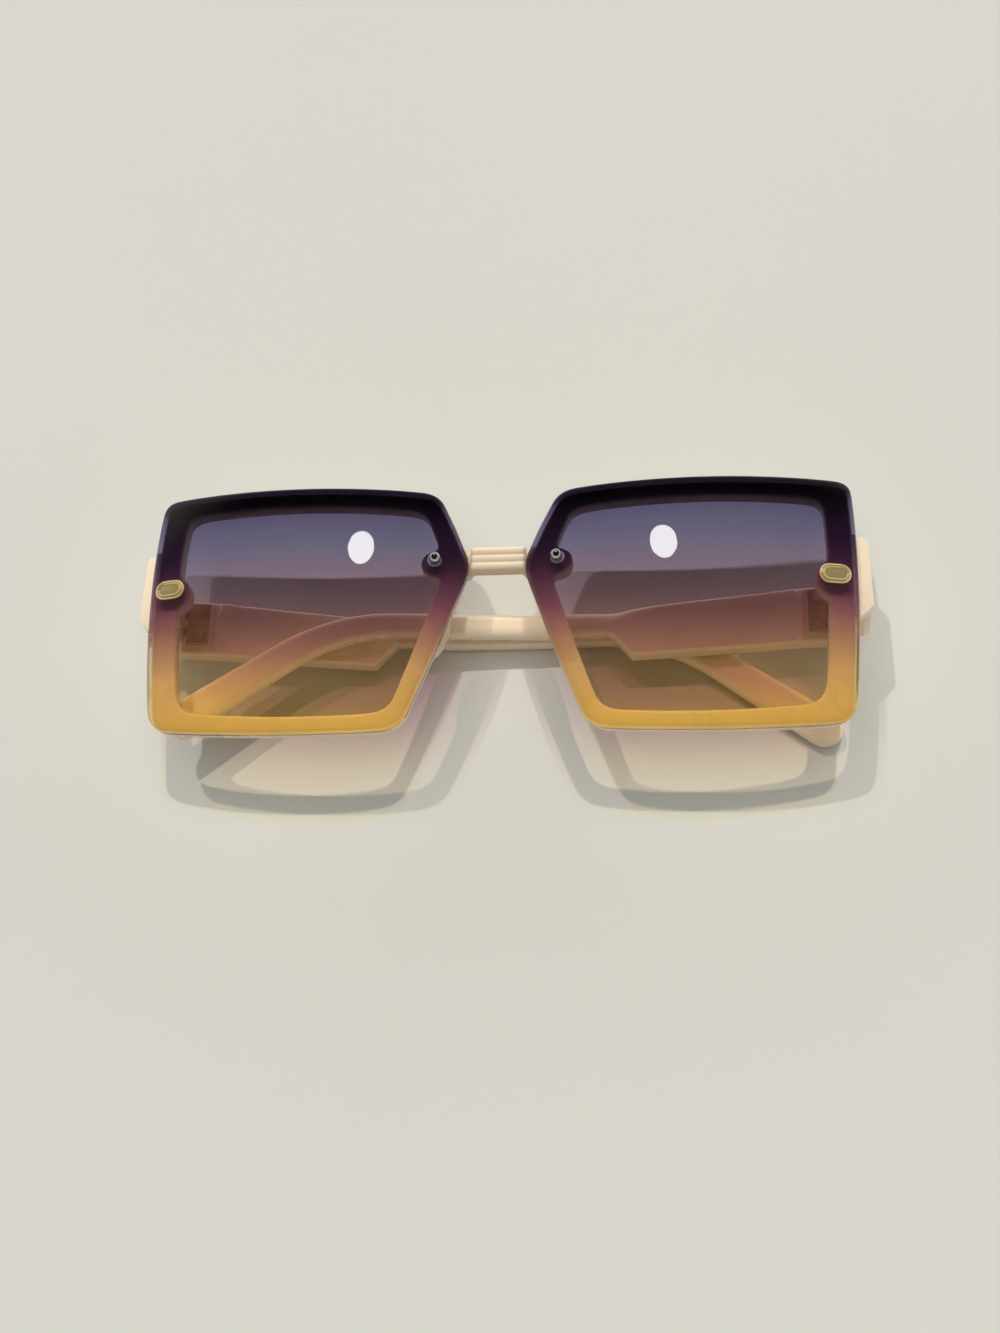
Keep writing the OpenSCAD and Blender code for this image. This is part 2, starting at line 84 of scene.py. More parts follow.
WASHER_HEIGHT = 0.3 * MM
POST_RADIUS = 0.6 * MM
POST_REACH = 1.15 * MM
POST_ROUND = 0.15 * MM
POST_INSIDE = 0.5 * MM
NECK_RADIUS = 0.66 * MM

# Waist of an endpiece: falls of its level, its lower edge and its upper edge
ENDPIECE_WAIST = (2.4 * MM, 0.6 * MM, 1.6 * MM)

# Lip under the lowest ridge of the bridge: inset, then start and end below the step
BRIDGE_LIP = (0.2 * MM, 0.9 * MM, 1.1 * MM)

# Post of a stud: radius and rise of its tip, then start, radius and level of its collar
POST_TIP = (0.35 * MM, 0.2 * MM)
COLLAR = (0.16 * MM, 0.72 * MM, 0.22 * MM)

# Steps and limits of the meshes
LENS_STEPS = 8
LENS_LOOPS = 34
RIM_STEPS = 48
NEAR_BOSS = 3 * MM
FINE_STEP = 0.28 * MM
COARSE_STEP = 1.1 * MM
SHARP = math.radians(50)
ENDPIECE_SHARP = math.radians(28)
RIDGE_TURNS = range(72, -90, -18)
QUARTER_STEPS = 5
FACE_STEPS = 10
BEND_STEPS = 12
BALL_STEPS = 12
HALF_ROUND_STEPS = 16

# Steps from an end of the bridge: distance in mm, share of the ridges and of the gusset
RIDGE_END = (
    (-3, 0, 1), (0.05, 0, 1), (0.2, 0.55, 0.85), (0.4, 0.8, 0.5), (0.7, 0.96, 0.15), (1.1, 1, 0),
)

# Rings of an oval cap, in mm: distance in from its edge and height above the lens
CAP_STEPS = (
    (0.45, 0.3), (0.3, 0.34), (0.1, 0.5), (0.0, 0.72), (0.0, 0.9), (0.08, 1.1), (0.24, 1.27),
    (0.45, 1.36), (0.62, 1.38), (0.74, 1.33), (0.82, 1.18), (0.9, 1.06), (1.0, 1.03),
    (1.3, 1.05), (1.6, 1.09), (1.9, 1.11),
)
CAP_TOP = 1.4

# Rings along a temple, in mm from its hinge
# Butt and wide part: place, radius of the corners, inset of the edges and of the faces
WIDE_ROUND = 0.7
BUTT_PLACES = (
    (0.15, 0.3, 0.5, 0.4), (0.3, 0.5, 0.15, 0.12), (0.65, 0.65, 0, 0), (3, WIDE_ROUND, 0, 0),
)
# Edge of the raised panel: place from its start, and share of its rise still missing
PANEL_EDGE = ((-0.02, 1.0), (0.03, 0.92), (0.24, 0.1), (0.32, 0.02), (0.42, 0.0))
PANEL_CURVE_SHARE = 0.6
PANEL_PLACES = (12, 16, 20, 24, 28, 32)
# End of the wide part: place and radius of the brow corner
PANEL_END = ((36, 0.8), (38, 1.0), (39.5, 1.25), (41, 1.55), (41.5, 1.65))
# Step: share of its length, radius of the corners and of the brow corner
STEP_PLACES = (
    (0.12, 0.8, 1.8), (0.3, 0.95, 2.1), (0.5, 1.15, 2.35), (0.75, 1.4, 2.45), (0.92, 1.6, 2.4),
    (1.05, 1.7, 2.3),
)
# Arm, with the radius of its brow corner at the first place and its loss for each mm
ARM_PLACES = (48, 51, 54, 57, 58.5, 59.5, 60.5, 61.5, 64, 68, 73, 78, 83, 87)
ARM_BROW_ROUND = (2.2, 0.02)
# Tip: shares of its straight length, then angles, thinning and corners of its round end
TIP_PLACES = (0.2, 0.4, 0.6, 0.8, 1.0)
TIP_ANGLES = (18, 36, 52, 66, 77, 85)
TIP_THINNING = (0.93, 0.8)
TIP_CORNERS = (0.95, 0.97)

# Camera of the photo, from a fit to the outlines of the lenses
CAMERA_AT = Vector((32.50, -121.56, 292.81)) * MM
CAMERA_AXES = (
    (0.99411, 0.02222, -0.10605),
    (0.01867, 0.92898, 0.36966),
    (0.10673, -0.36947, 0.92309),
)
CAMERA_LENS = 40.55
CAMERA_SENSOR = 36


def length(name, text, value):
    """A size property in metres, given in millimetres."""
    return FloatProperty(
        name=name, description=text, default=value * MM, unit="LENGTH", precision=5
    )


def degrees(name, text, value):
    """An angle property in radians, given in degrees."""
    return FloatProperty(
        name=name, description=text, default=math.radians(value), subtype="ANGLE"
    )


def colour(name, text, value):
    """A colour property."""
    return FloatVectorProperty(
        name=name, description=text, default=value, size=3, subtype="COLOR", min=0.0, max=1.0
    )


class GlassesSizes(bpy.types.PropertyGroup):
    """Sizes of the sunglasses, the same as those of the solid model."""

    lens_width: length("Lens width", "Width of one lens plate", 65.4)
    lens_height: length("Lens height", "Height of one lens plate", 53.6)
    nose_gap: length("Nose gap", "Gap between the lens plates", 11.6)
    lens_thickness: length("Lens thickness", "Thickness of a lens plate", 2.0)
    lens_radius: length("Lens radius", "Radius of the lens front", 130)
    lens_level: length("Lens level", "Height of the lens fronts above the table", 26.446)
    lens_bevel: length("Lens bevel", "Width of the polished bevel of a lens", 0.45)
    lens_overhang: length("Lens overhang", "Lens edge beyond the rim", 0.7)
    face_wrap: degrees("Face wrap", "Outward turn of a lens", 0)
    rim_band: length("Rim band", "Width of the rim behind the lens", 4.1)
    rim_depth: length("Rim depth", "Depth of the rim behind the lens", 3.6)
    seat_gap: length("Seat gap", "Space between lens and rim", 0.1)
    outer_band_extra: length("Outer band extra", "Extra rim width at the outer side", 0.9)
    stud_inset: length("Stud inset", "Distance of a nose stud from its lens edge", 6.65)
    stud_y: length("Stud height", "Height of the nose studs on the lens", 9.4)
    stud_radius: length("Stud radius", "Radius of the ball head of a stud", 1.2)
    boss_radius: length("Stud boss radius", "Radius of the boss around a stud", 3.0)
    cap_inset: length("Cap inset", "Distance of an oval cap from its lens edge", 5.0)
    cap_y: length("Cap height", "Height of the oval caps on the lens", 4.0)
    cap_length: length("Cap length", "Length of an oval cap", 6.4)
    cap_width: length("Cap width", "Width of an oval cap", 4.2)
    cap_rise: length("Cap rise", "Height of an oval cap above the lens", 1.4)
    cap_boss_radius: length("Cap boss radius", "Radius of the boss around a cap", 3.7)
    endpiece_reach: length("Endpiece reach", "Endpiece beyond the lens", 2.8)
    bridge_y: length("Bridge height", "Height of the bridge on the lens", 11.1)
    ridge_radius: length("Ridge radius", "Radius of a bridge ridge", 0.95)
    ridge_pitch: length("Ridge pitch", "Spacing of the bridge ridges", 1.65)
    bridge_depth: length("Bridge depth", "Thickness of the bridge", 3.8)
    pad_radius: length("Pad radius", "Radius of a nose pad", 5.5)
    pad_thickness: length("Pad thickness", "Thickness of a nose pad", 2.4)
    pad_inset: length("Pad inset", "Distance of a nose pad behind its lens edge", 3.0)
    endpiece_rise: length("Endpiece rise", "Rise of an endpiece from its hinge to the lens", 5.8)
    endpiece_height: length("Endpiece height", "Height of an endpiece at the lens", 15)
    root_height: length("Temple height", "Height of a temple at its hinge", 12.2)
    wide_length: length("Wide length", "Length of the wide part of a temple", 41.5)
    temple_thickness: length("Temple thickness", "Thickness of the wide part", 4.4)
    wide_drop: length("Wide drop", "Growth of the wide part towards its end", 2.3)
    panel_start: length("Panel start", "Distance from the hinge to the raised panel", 7)
    panel_rise: length("Panel rise", "Height of the panel above the face round the hinge", 0.3)
    arm_height: length("Arm height", "Height of the narrow arm", 5.2)
    arm_thickness: length("Arm thickness", "Thickness of the narrow arm", 4.0)
    bow_start: length("Bow start", "Distance from the hinge to the bow", 60)
    ear_start: length("Ear start", "Distance from the hinge to the ear bend", 90)
    ear_radius: length("Ear radius", "Radius of the ear bend", 40)
    tip_length: length("Tip length", "Straight length of the tip", 25)
    tip_width: length("Tip width", "Width of the tip", 7.4)
    pad_flare: degrees("Pad flare", "Flare of the nose pads", 10)
    bow_angle: degrees("Bow angle", "Angle of the bow of the arm", 4.4)
    ear_angle: degrees("Ear angle", "Angle of the ear bend", 35)


class GlassesColours(bpy.types.PropertyGroup):
    """Colours of the sunglasses and of the table."""

    # The brow edge tint is partly the lens's own dark top and partly painted shade of the rim seen
    # through it
    lens_edge: colour("Lens edge", "Tint along the brow edge", (0.02, 0.01, 0.03))
    lens_top: colour("Lens top", "Tint just below the brow rim", (0.128, 0.112, 0.247))
    lens_brow: colour("Lens brow", "Tint a quarter down", (0.25, 0.235, 0.41))
    lens_middle: colour("Lens middle", "Tint at the middle", (0.53, 0.375, 0.49))
    lens_low: colour("Lens low", "Tint at a quarter height", (0.91, 0.76, 0.49))
    lens_bottom: colour("Lens bottom", "Tint at the lower edge", (1.0, 0.79, 0.30))
    shade_top: colour("Shade top", "Tint of the light at the brow edge", (0.02, 0.005, 0.02))
    shade_brow: colour("Shade brow", "Tint of the light a quarter down", (0.07, 0.015, 0.065))
    shade_middle: colour("Shade middle", "Tint of the light at the middle", (0.43, 0.23, 0.37))
    shade_low: colour("Shade low", "Tint of the light at a quarter height", (0.95, 0.79, 0.60))
    shade_bottom: colour("Shade bottom", "Tint of the light at the lower edge", (1.0, 0.93, 0.70))
    plastic: colour("Frame plastic", "Warm cream plastic", (0.92, 0.74, 0.53))
    gold: colour("Gold", "Satin gold plating", (0.97, 0.74, 0.34))
    # Chrome darkened and tinted plum: painted reflection of the dark lens that the studs mirror
    chrome: colour("Chrome", "Chrome darkened as painted reflection of the lens", (0.56, 0.53, 0.60))
    hinge: colour("Hinge metal", "Warm satin hinge metal", (0.75, 0.58, 0.40))
    table: colour("Table", "Pale table top", (0.72, 0.695, 0.62))


# Outline of the lens and of the opening of the rim

OUTLINE_CORNERS = ((0.10, 0.98), (0.99, 1.0), (0.965, -0.955), (0.19, -0.985), (-0.01, 0.33))
OUTLINE_BOWS = (0.017, 0.021, 0.035, 0.009, 0.004)
OUTLINE_ROUNDS = (0.12, 0.093, 0.16, 0.15, 0.18)
OPENING_SHIFT = ((0.6, -1.0), (-1.0, -1.0), (-1.0, 1.0), (0.55, 1.0), (1.15, -0.05))
OPENING_ROUNDS = (0.11, 0.093, 0.13, 0.11, 0.15)
LONGEST_ROUND = 0.34
BOW_AT_ROUND = 0.6


def controls(corners, bows, rounds):
    """Corner, two side points and a bowed middle for each side of an outline."""
    points = []
    for i, a in enumerate(corners):
        b = corners[(i + 1) % len(corners)]
        side = (b - a).normalized()
        longest = (b - a).length * LONGEST_ROUND
        bow = Vector((-side.y, side.x)) * bows[i]
        start = a + side * min(rounds[i], longest) + bow * BOW_AT_ROUND
        finish = b - side * min(rounds[(i + 1) % len(corners)], longest) + bow * BOW_AT_ROUND
        points += [a, start, (a + b) / 2 + bow, finish]
    return points


def smooth(points, steps):
    """Smooth closed curve through the middles of the sides of a control polygon."""
    curve = []
    for i, q in enumerate(points):
        start = (points[i - 1] + q) / 2
        end = (q + points[(i + 1) % len(points)]) / 2
        for k in range(steps):
            u = k / steps
            curve.append(start.lerp(q, u).lerp(q.lerp(end, u), u))
    return curve


def lens_corners(s):
    """Corners of the right lens plate, before they are rounded."""
    return [
        Vector((s.nose_gap / 2 + u * s.lens_width, v * s.lens_height / 2))
        for u, v in OUTLINE_CORNERS
    ]


def lens_curve(s, steps):
    """Outline of the right lens plate."""
    bows = [b * s.lens_height for b in OUTLINE_BOWS]
    rounds = [r * s.lens_height for r in OUTLINE_ROUNDS]
    raw = smooth(controls(lens_corners(s), bows, rounds), steps)
    low = Vector((min(p.x for p in raw), min(p.y for p in raw)))
    high = Vector((max(p.x for p in raw), max(p.y for p in raw)))
    return [
        Vector((
            s.nose_gap / 2 + (p.x - low.x) / (high.x - low.x) * s.lens_width,
            -s.lens_height / 2 + (p.y - low.y) / (high.y - low.y) * s.lens_height,
        ))
        for p in raw
    ]


def opening_curve(s, steps):
    """Outline of the opening of the right rim."""
    inset = s.rim_band + s.lens_overhang
    corners = []
    for i, corner in enumerate(lens_corners(s)):
        shift = Vector(OPENING_SHIFT[i]) * inset
        extra = Vector((s.outer_band_extra if i in (1, 2) else 0, 0))
        corners.append(corner + shift - extra)
    bows = [b * s.lens_height for b in OUTLINE_BOWS]
    rounds = [r * s.lens_height for r in OPENING_ROUNDS]
    return smooth(controls(corners, bows, rounds), steps)


def moved(points, distance):
    """A closed curve moved outwards by a distance."""
    result = []
    for i, p in enumerate(points):
        along = points[(i + 1) % len(points)] - points[i - 1]
        result.append(p + Vector((-along.y, along.x)).normalized() * distance)
    return result


def ball_centre(s):
    """Centre of the balls that the right lens and rim follow."""
    middle = (s.nose_gap + s.lens_width) / 2
    return Vector((
        middle - s.lens_radius * math.sin(s.face_wrap),
        0,
        s.lens_level - s.lens_radius * math.cos(s.face_wrap),
    ))


def ball_level(s, radius, x, y):
    """Height of a ball about the lens centre above a point of the table."""
    c = ball_centre(s)
    return c.z + math.sqrt(radius**2 - (x - c.x) ** 2 - y**2)


def seat_radius(s):
    """Radius of the ball that the fronts of the rims follow."""
    return s.lens_radius - s.lens_thickness - s.seat_gap


def lens_place(s, x, y):
    """Matrix that puts a piece on the lens front, its Z along the normal."""
    c = ball_centre(s)
    out = Vector((x - c.x, y, math.sqrt(s.lens_radius**2 - (x - c.x) ** 2 - y**2))).normalized()
    turn = Vector((0, 0, 1)).rotation_difference(out).to_matrix().to_4x4()
    return Matrix.Translation(c + out * s.lens_radius) @ turn


# Mesh helpers


def ring_of(bm, points):
    """A closed ring of edges through points."""
    verts = [bm.verts.new(p) for p in points]
    edges = [bm.edges.new((a, b)) for a, b in zip(verts, verts[1:] + verts[:1])]
    return verts, edges


def grow(bm, verts, edges, points):
    """Extrudes a ring of edges and moves the new ring to points."""
    made = bmesh.ops.extrude_edge_only(bm, edges=edges)["geom"]
    new = {g for g in made if isinstance(g, bmesh.types.BMVert)}
    ring = []
    for vert, point in zip(verts, points):
        partner = next(e.other_vert(vert) for e in vert.link_edges if e.other_vert(vert) in new)
        partner.co = point
        ring.append(partner)
    return ring, [bm.edges.get((a, b)) for a, b in zip(ring, ring[1:] + ring[:1])]


def loft(bm, rings):
    """Extrudes the first ring of points through the others and closes both ends."""
    verts, edges = ring_of(bm, rings[0])
    first = verts
    for points in rings[1:]:
        verts, edges = grow(bm, verts, edges, points)
    ends = [bmesh.ops.contextual_create(bm, geom=list(ring))["faces"] for ring in (first, verts)]
    return [end[0] for end in ends]


def sharp_edges(bm, angle):
    """Edges whose faces meet at more than an angle."""
    return [e for e in bm.edges if len(e.link_faces) == 2 and e.calc_face_angle() > angle]


def face_out(bm):
    """Turns all faces outwards."""
    bmesh.ops.recalc_face_normals(bm, faces=bm.faces)


def bevel(bm, edges, width, segments):
    """Rounds edges over a width."""
    bmesh.ops.bevel(
        bm, geom=edges, offset=width, offset_type="OFFSET", segments=segments, profile=0.5,
        affect="EDGES", clamp_overlap=True, material=-1,
    )


def thicken(s, bm, radius, depth):
    """Makes a plate of a sheet, its front on a ball and its back that much deeper."""
    face_out(bm)
    made = bmesh.ops.extrude_face_region(bm, geom=bm.faces[:])["geom"]
    back = {g for g in made if isinstance(g, bmesh.types.BMVert)}
    for vert in bm.verts:
        level = radius - (depth if vert in back else 0)
        vert.co.z = ball_level(s, level, vert.co.x, vert.co.y)
    face_out(bm)
    return back


def add_mesh(bm, other):
    """Puts the shape of another bmesh into this one."""
    mesh = bpy.data.meshes.new("part")
    other.to_mesh(mesh)
    other.free()
    bm.from_mesh(mesh)
    bpy.data.meshes.remove(mesh)


def finish_piece(bm, name, body, material, replaced, crease=40.0):
    """Makes a smooth shaded object of a bmesh, on its body and in its material slot."""
    bmesh.ops.remove_doubles(bm, verts=bm.verts, dist=0.0005 * MM)
    face_out(bm)
    for face in bm.faces:
        face.smooth = True
    for edge in sharp_edges(bm, math.radians(crease)):
        edge.smooth = False
    mesh = bpy.data.meshes.new(name)
    bm.to_mesh(mesh)
    bm.free()
    obj = bpy.data.objects.new(name, mesh)
    bpy.context.scene.collection.objects.link(obj)
    mesh.materials.append(material)
    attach(obj, body)
    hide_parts(*replaced)


def flip_left(bm):
    """Mirrors a right-hand shape to the left."""
    bmesh.ops.scale(bm, vec=(-1, 1, 1), verts=bm.verts)
    bmesh.ops.reverse_faces(bm, faces=bm.faces)


# Materials


def node_maker(tree):
    """A function that adds shader nodes to an emptied tree, sets them and links them."""
    tree.nodes.clear()

    def add(kind, values=None, links=None, **attributes):
        node = tree.nodes.new(f"ShaderNode{kind}")
        for key, value in attributes.items():
            setattr(node, key, value)
        for key, value in (values or {}).items():
            node.inputs[key].default_value = value
        for key, socket in (links or {}).items():
            tree.links.new(socket, node.inputs[key])
        return node

    return add


def new_material(name):
    """An empty node material, and a function that adds its nodes."""
    old = bpy.data.materials.get(name)
    if old:
        bpy.data.materials.remove(old)
    material = bpy.data.materials.new(name)
    material.use_nodes = True
    return material, node_maker(material.node_tree)


def show(add, shader):
    """Sends a shader to the output of a material."""
    add("OutputMaterial", links={"Surface": shader.outputs[0]})


def ramp(add, value, stops, interpolation="EASE"):
    """Colour of a ramp over a value."""
    node = add("ValToRGB", links={"Fac": value})
    node.color_ramp.interpolation = interpolation
    elements = node.color_ramp.elements
    while len(elements) > 1:
        elements.remove(elements[-1])
    for i, (place, tone) in enumerate(stops):
        element = elements[0] if i == 0 else elements.new(place)
        element.position = place
        element.color = (*tone, 1.0)
    return node.outputs["Color"]


def noise(add, scale, **values):
    """Noise in the space of a piece."""
    where = add("TexCoord").outputs["Object"]
    return add("TexNoise", {"Scale": scale, **values}, {"Vector": where}).outputs["Fac"]


def spread(add, value, low, high):
    """A value from 0 to 1 spread over a range."""
    node = add("MapRange", {"To Min": low, "To Max": high}, {"Value": value})
    return node.outputs["Result"]


def relief(add, height, strength, distance):
    """Normal of a surface with a fine relief."""
    node = add("Bump", {"Strength": strength, "Distance": distance}, {"Height": height})
    return node.outputs["Normal"]


def plastic_material(c):
    """Warm cream moulded plastic with faint clouding and soft moulding ripple."""
    material, add = new_material("cream_plastic")
    cloud = noise(add, 55.0, Detail=4.0, Roughness=0.55)
    base = Vector(c.plastic)
    bright = Vector([min(1.0, v * 1.03) for v in base])
    surface = add(
        "BsdfPrincipled",
        {
            "IOR": 1.5, "Subsurface Weight": 0.12, "Subsurface Radius": (0.0022, 0.0013, 0.0007),
            "Subsurface Scale": 1.0, "Coat Weight": 0.25, "Coat Roughness": 0.08,
        },
        {
            "Base Color": ramp(add, cloud, [(0.30, base * 0.955), (0.70, bright)]),
            "Roughness": spread(add, cloud, 0.22, 0.34),
            "Normal": relief(add, noise(add, 900.0, Detail=2.0), 0.035, 0.0002),
        },
    )
    show(add, surface)
    return material


def lens_material(s, c):
    """Tinted lens plate: plum at the brow edge, rose in the middle and amber at the lower edge."""
    material, add = new_material("gradient_lens")
    where = add("TexCoord").outputs["Object"]
    axes = add("SeparateXYZ", links={"Vector": where})
    height = add(
        "MapRange",
        {"From Min": -s.lens_height / 2, "From Max": s.lens_height / 2},
        {"Value": axes.outputs["Y"]},
    )
    drift = add("Math", {1: 0.025}, {0: noise(add, 30.0, Detail=2.0)}, operation="MULTIPLY")
    place = add("Math", links={0: height.outputs["Result"], 1: drift.outputs[0]}, operation="ADD")
    # The last stop, at the brow edge, is partly painted shade of the rim under the lens
    tint = ramp(add, place.outputs[0], [
        (0.04, c.lens_bottom), (0.24, c.lens_low), (0.52, c.lens_middle),
        (0.74, c.lens_brow), (0.91, c.lens_top), (0.96, c.lens_edge),
    ], "LINEAR")
    shade = ramp(add, place.outputs[0], [
        (0.04, c.shade_bottom), (0.25, c.shade_low), (0.51, c.shade_middle),
        (0.71, c.shade_brow), (0.95, c.shade_top),
    ], "LINEAR")
    surface = add(
        "BsdfPrincipled",
        {"IOR": 1.45, "Roughness": 0.015, "Transmission Weight": 1.0},
        {"Base Color": tint},
    )
    half = add("Gamma", {"Gamma": 0.5}, {"Color": shade})
    light = add("BsdfTransparent", links={"Color": half.outputs["Color"]})
    path = add("LightPath")
    mix = add(
        "MixShader",
        links={0: path.outputs["Is Shadow Ray"], 1: surface.outputs[0], 2: light.outputs[0]},
    )
    show(add, mix)
    return material


def metal_material(name, base, roughness, grain, worn, metal=1.0):
    """Plated metal with a faint grain and slightly uneven gloss."""
    material, add = new_material(name)
    cloud = noise(add, 700.0, Detail=3.0)
    surface = add(
        "BsdfPrincipled",
        {"Metallic": metal},
        {
            "Base Color": ramp(add, cloud, [(0.3, Vector(base) * worn), (0.7, Vector(base))]),
            "Roughness": spread(add, cloud, roughness * 0.8, roughness * 1.35),
            "Normal": relief(add, cloud, grain, 0.00005),
        },
    )
    show(add, surface)
    return material


def washer_material():
    """Clear soft plastic with a faint haze."""
    material, add = new_material("clear_washer")
    surface = add(
        "BsdfPrincipled",
        {"Base Color": (0.92, 0.94, 0.94, 1), "IOR": 1.45, "Transmission Weight": 0.85},
        {"Roughness": spread(add, noise(add, 600.0), 0.12, 0.25)},
    )
    show(add, surface)
    return material


def table_material(c):
    """Pale satin table top."""
    material, add = new_material("pale_table")
    base = Vector(c.table)
    stops = [(0.25, base * 0.985), (0.75, base * 1.015)]
    surface = add(
        "BsdfPrincipled",
        {"Roughness": 0.55, "IOR": 1.25},
        {"Base Color": ramp(add, noise(add, 3.0, Detail=5.0), stops)},
    )
    show(add, surface)
    return material


# Pieces


def lens_plate(s, side, material):
    """One lens plate with a polished bevel round its edge."""
    bm = bmesh.new()
    centre = Vector(((s.nose_gap + s.lens_width) / 2, 0, 0))
    verts, edges = ring_of(bm, [p.to_3d() for p in lens_curve(s, LENS_STEPS)])
    outline = [v.co.copy() for v in verts]
    for k in range(1, LENS_LOOPS):
        share = 1 - k / LENS_LOOPS
        verts, edges = grow(bm, verts, edges, [centre + (p - centre) * share for p in outline])
    middle = bmesh.ops.contextual_create(bm, geom=list(verts))["faces"]
    bmesh.ops.poke(bm, faces=middle)
    back = thicken(s, bm, s.lens_radius, s.lens_thickness)
    edge_loops = sharp_edges(bm, SHARP)
    front = [e for e in edge_loops if e.verts[0] not in back]
    rear = [e for e in edge_loops if e.verts[0] in back]
    bevel(bm, front, s.lens_bevel, 3)
    bevel(bm, rear, s.lens_bevel / 2, 2)
    if side == "left":
        flip_left(bm)
    finish_piece(
        bm, f"{side}_lens_plate", "front", material, [f"{side}_lens"], crease=24
    )


def lobe(point, inwards, centre, radius, fillet):
    """How far a round boss with fillets pushes a point of the opening inwards."""
    across = Vector((-inwards.y, inwards.x))
    u = abs((point - centre).dot(across))
    rise = (centre - point).dot(inwards)
    if rise < -radius or rise > radius:
        return 0.0
    reach = math.sqrt(max(0.0, (radius + fillet) ** 2 - (fillet - rise) ** 2))
    if u >= reach:
        return 0.0
    if u > reach * radius / (radius + fillet):
        return fillet - math.sqrt(max(0.0, fillet**2 - (reach - u) ** 2))
    return rise + math.sqrt(radius**2 - u**2)


def rim_rings(s):
    """Matching points of the outer edge and of the opening of the right rim, with both bosses."""
    outer = moved(lens_curve(s, RIM_STEPS), -s.lens_overhang)
    inner = opening_curve(s, RIM_STEPS)
    bosses = (
        (Vector((s.nose_gap / 2 + s.stud_inset, s.stud_y)), s.boss_radius),
        (Vector((s.nose_gap / 2 + s.lens_width - s.cap_inset, s.cap_y)), s.cap_boss_radius),
    )
    kept = []
    for o, i in zip(outer, inner):
        near = any((i - centre).length < radius + NEAR_BOSS for centre, radius in bosses)
        least = FINE_STEP if near else COARSE_STEP
        if kept and (o - kept[-1][0]).length < least and (i - kept[-1][1]).length < least:
            continue
        kept.append((o, i))
    rings = []
    for o, i in kept:
        inwards = (i - o).normalized()
        push = max(lobe(i, inwards, centre, radius, BOSS_FILLET) for centre, radius in bosses)
        rings.append((o, i + inwards * push))
    return [r[0] for r in rings], [r[1] for r in rings]


def rim(s):
    """The right rim with its rounded edges."""
    bm = bmesh.new()
    outer, inner = rim_rings(s)
    verts, edges = ring_of(bm, [p.to_3d() for p in outer])
    grow(bm, verts, edges, [p.to_3d() for p in inner])
    thicken(s, bm, seat_radius(s), s.rim_depth)
    bevel(bm, sharp_edges(bm, SHARP), RIM_ROUND, 4)
    return bm


def endpiece(s):
    """The right endpiece, from its plate beside the lens back to its hinge."""
    bm = bmesh.new()
    seat = seat_radius(s)
    inner = s.nose_gap / 2 + s.lens_width - ENDPIECE_LAP
    outer = s.nose_gap / 2 + s.lens_width + s.endpiece_reach
    hinge = HINGE_AT["right_hinge"]
    root_top = hinge.y + s.root_height / 2 - ROOT_DROP
    root_low = root_top - s.root_height
    top = root_top + s.endpiece_rise
    low = top - s.endpiece_height
    cut, corner = ENDPIECE_CUT, ENDPIECE_CORNER
    block = outer - s.temple_thickness
    plate = [
        (inner, low - 2 * cut), (outer - 2 * cut, low - 2 * cut), (outer, low),
        (outer, top - cut / 2), (outer - cut / 2, top), (inner + cut, top), (inner, top - cut),
    ]
    join = (
        (1 - ENDPIECE_JOIN_SHARE) * ball_level(s, seat, outer, top)
        + ENDPIECE_JOIN_SHARE * ball_level(s, seat - s.rim_depth, block, low)
    )
    rings = [
        [Vector((x, y, ball_level(s, seat - ENDPIECE_SINK, x, y))) for x, y in plate],
        [Vector((x, y, ball_level(s, seat - s.rim_depth, x, y))) for x, y in plate],
    ]
    waist = tuple(edge - fall for edge, fall in zip((join, low, top), ENDPIECE_WAIST))
    foot = (hinge.z + BUTT_GAP, root_low, root_top)
    for level, bottom, head in (waist, foot):
        rings.append([
            Vector((x, y, level))
            for x, y in (
                (block, bottom), (outer - 1.5 * corner, bottom), (outer, bottom + corner),
                (outer, head - corner), (outer - corner, head), (block + corner, head),
                (block, head - corner),
            )
        ])
    loft(bm, rings)
    face_out(bm)
    bevel(bm, sharp_edges(bm, ENDPIECE_SHARP), ENDPIECE_ROUND, 3)
    return bm


def nose_pad(s):
    """The right moulded nose pad, its front cut off inside the rim."""
    bm = bmesh.new()
    a, b = lens_corners(s)[4], lens_corners(s)[3]
    edge = (b - a).normalized()
    middle = a.lerp(b, PAD_SHARE) + Vector((s.pad_inset, 0))
    seat = seat_radius(s)
    level = ball_level(s, seat - s.rim_depth, middle.x, middle.y) - PAD_DROP
    turn = (
        Matrix.Rotation(math.atan2(edge.y, edge.x), 4, "Z")
        @ Matrix.Rotation(-math.pi / 2 - s.pad_flare, 4, "X")
    )
    bmesh.ops.create_cone(
        bm, cap_ends=True, segments=64, radius1=s.pad_radius, radius2=s.pad_radius,
        depth=s.pad_thickness,
    )
    bevel(bm, sharp_edges(bm, SHARP), PAD_ROUND, 5)
    place = Matrix.Translation((middle.x, middle.y, level))
    bmesh.ops.transform(bm, matrix=place @ turn, verts=bm.verts)
    cut = ball_level(s, seat - PAD_SINK, middle.x, middle.y)
    made = bmesh.ops.bisect_plane(
        bm, geom=bm.verts[:] + bm.edges[:] + bm.faces[:], plane_co=(0, 0, cut), plane_no=(0, 0, 1),
        clear_outer=True,
    )
    rim_of_cut = [g for g in made["geom_cut"] if isinstance(g, bmesh.types.BMEdge)]
    bmesh.ops.holes_fill(bm, edges=rim_of_cut)
    return bm


